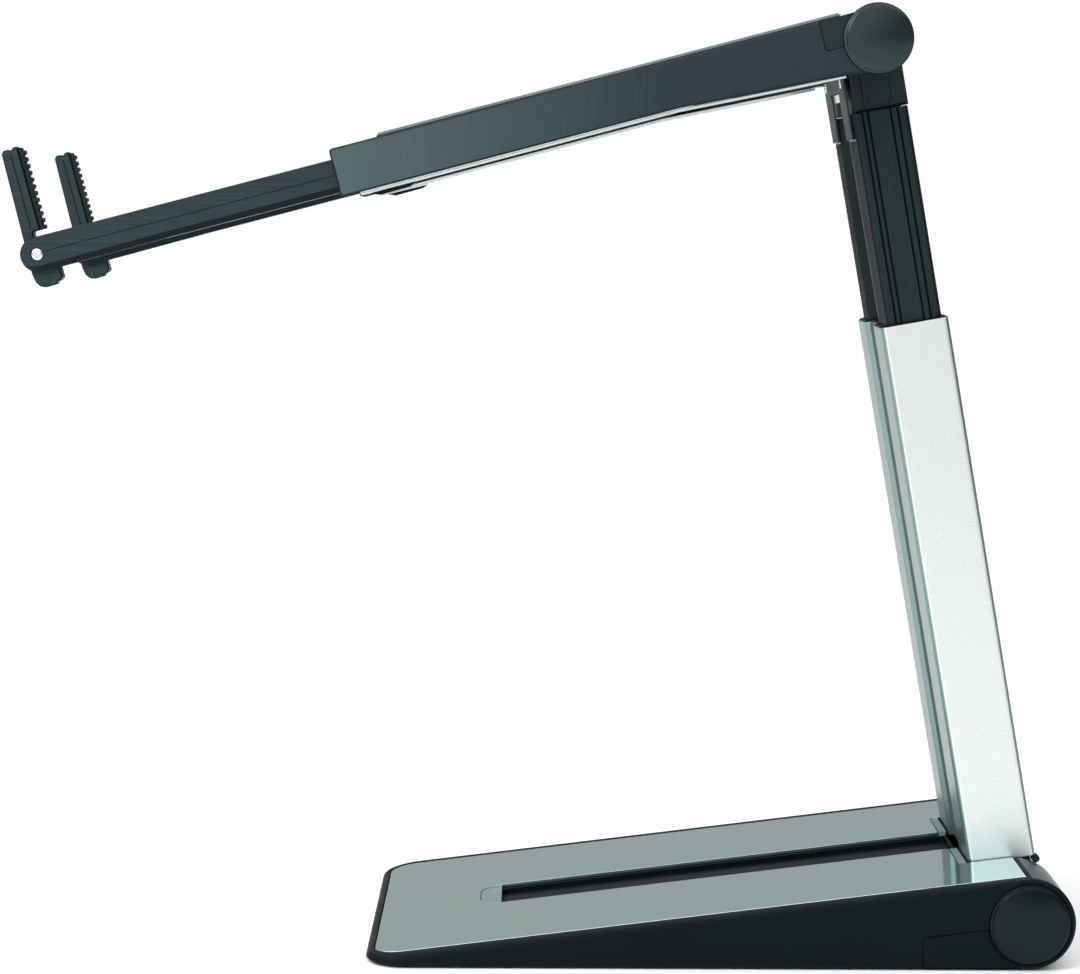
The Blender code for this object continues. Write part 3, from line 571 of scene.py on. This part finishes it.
def make_screw_recess_shade(index):
    """A thin dark cross on a base screw's head: painted shade that stands for a cross recess."""
    low, high = (Vector(c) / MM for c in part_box(f"base_screw_{index}"))
    cx, cy = (low.x + high.x) / 2, (low.y + high.y) / 2
    far, half = CROSS_ARM, CROSS_HALF
    outline = [
        (far, half), (half, half), (half, far), (-half, far), (-half, half), (-far, half),
        (-far, -half), (-half, -half), (-half, -far), (half, -far), (half, -half), (far, -half),
    ]
    levels = (low.z - CROSS_FAR, low.z - CROSS_NEAR)
    rings = [[(cx + x, cy + y, z) for x, y in outline] for z in levels]
    piece(f"screw_recess_shade_{index}", "base", "black_plastic", Matrix(), rings)


def make_pieces():
    make_groove_shade_liner()
    make_mouth_wiper()
    make_bracket_shim()
    for side, sign in SIDES.items():
        make_bracket_rivet(side, sign)
    for side, sign in SIDES.items():
        make_arm_mouth(side, sign)
        make_cap_ring(side, sign)
        make_mast_ribs(side, sign)
        make_cap_domes(side)
    for index in range(1, 5):
        make_screw_recess_shade(index)


# ------------------------------------------------------------------ studio
BAND = 0.36  # brightness of the grey band round the horizon
DOME = 1.9  # and overhead
NEAR_DARK, NEAR_BRIGHT = 0.02, 1.35  # and on the camera's side: low right, high left
FLOOR_HALF = 30.0
KEY_PLACE, KEY_AIM, KEY_SIZE, KEY_POWER = (-0.8, -0.8, 0.9), (0.0, 0.0, 0.2), (0.5, 0.5), 12.0
CAMERA_PLACE = (-0.06695, -1.08884, 0.27493)
CAMERA_TURN, CAMERA_DOWN, CAMERA_ROLL = -0.09, 5.67, 0.25  # degrees
LENS, SENSOR_WIDTH = 96.0, 36.0  # millimetres


def make_floor():
    """A wide pale floor, which isn't part of the object."""
    look = Look("floor", (0.86, 0.87, 0.87), 0.6)
    patches = [(0.3, (0.84, 0.85, 0.85)), (0.7, (0.88, 0.885, 0.885))]
    look.colour(look.ramp(look.noise(6.0, 4.0), patches))
    mesh = bpy.data.meshes.new("floor")
    work = bmesh.new()
    half = FLOOR_HALF
    corners = [(-half, -half), (half, -half), (half, half), (-half, half)]
    work.faces.new([work.verts.new((x, y, 0.0)) for x, y in corners])
    work.to_mesh(mesh)
    work.free()
    floor = bpy.data.objects.new("floor", mesh)
    mesh.materials.append(look.material)
    bpy.context.scene.collection.objects.link(floor)


def make_key_light():
    """A soft box above, in front and to the left."""
    light = bpy.data.lights.new("key", "AREA")
    light.shape = "RECTANGLE"
    light.size, light.size_y = KEY_SIZE
    light.energy = KEY_POWER
    made = bpy.data.objects.new("key", light)
    made.location = KEY_PLACE
    away = Vector(KEY_AIM) - Vector(KEY_PLACE)
    made.rotation_euler = away.to_track_quat("-Z", "Y").to_euler()
    bpy.context.scene.collection.objects.link(made)


def make_world():
    """A grey band round the horizon, white behind the stand, a bright dome overhead, and a
    camera's side that grows brighter towards high left."""
    world = bpy.data.worlds.new("studio")
    bpy.context.scene.world = world
    world.use_nodes = True
    tree = world.node_tree
    direction = tree.nodes.new("ShaderNodeTexCoord").outputs["Generated"]
    parts = tree.nodes.new("ShaderNodeSeparateXYZ")
    tree.links.new(direction, parts.inputs["Vector"])

    def ranged(value, start, end, low, high):
        node = tree.nodes.new("ShaderNodeMapRange")
        node.interpolation_type = "SMOOTHSTEP"
        tree.links.new(value, node.inputs["Value"])
        node.inputs["From Min"].default_value = start
        node.inputs["From Max"].default_value = end
        node.inputs["To Min"].default_value = low
        node.inputs["To Max"].default_value = high
        return node.outputs["Result"]

    def combined(operation, a, b):
        node = tree.nodes.new("ShaderNodeMath")
        node.operation = operation
        for socket, value in zip(node.inputs, (a, b)):
            if isinstance(value, float):
                socket.default_value = value
            else:
                tree.links.new(value, socket)
        return node.outputs["Value"]

    height, depth, across = parts.outputs["Z"], parts.outputs["Y"], parts.outputs["X"]
    dome = ranged(height, 0.45, 0.8, 0.0, DOME - BAND)
    swing = combined("SUBTRACT", height, across)
    near = combined(
        "MULTIPLY",
        ranged(depth, -0.35, -0.75, 0.0, 1.0),
        ranged(swing, -0.5, 0.5, NEAR_DARK - BAND, NEAR_BRIGHT - BAND),
    )
    level = combined("ABSOLUTE", height, 0.0)
    behind = combined(
        "MULTIPLY",
        ranged(level, 0.085, 0.12, 1.0 - BAND, 0.0),
        ranged(depth, 0.95, 0.975, 0.0, 1.0),
    )
    total = combined("ADD", combined("MAXIMUM", dome, near), behind)
    strength = combined("ADD", total, BAND)
    tree.links.new(strength, tree.nodes["Background"].inputs["Strength"])
    tree.nodes["Background"].inputs["Color"].default_value = (1.0, 1.0, 1.0, 1.0)


def make_camera():
    """A long lens, almost level, looking along +Y at the stand's left side."""
    data = bpy.data.cameras.new("camera")
    data.lens = LENS
    data.sensor_width = SENSOR_WIDTH
    data.clip_start = 0.05
    data.clip_end = 60.0
    camera = bpy.data.objects.new("camera", data)
    bpy.context.scene.collection.objects.link(camera)
    turn = (
        Matrix.Rotation(math.radians(CAMERA_TURN), 4, "Z")
        @ Matrix.Rotation(math.radians(90.0 - CAMERA_DOWN), 4, "X")
        @ Matrix.Rotation(math.radians(CAMERA_ROLL), 4, "Z")
    )
    camera.matrix_world = Matrix.Translation(CAMERA_PLACE) @ turn
    bpy.context.scene.camera = camera


finish_frame()
make_pieces()
make_floor()
make_world()
make_key_light()
make_camera()
bpy.context.scene.view_settings.view_transform = "Standard"
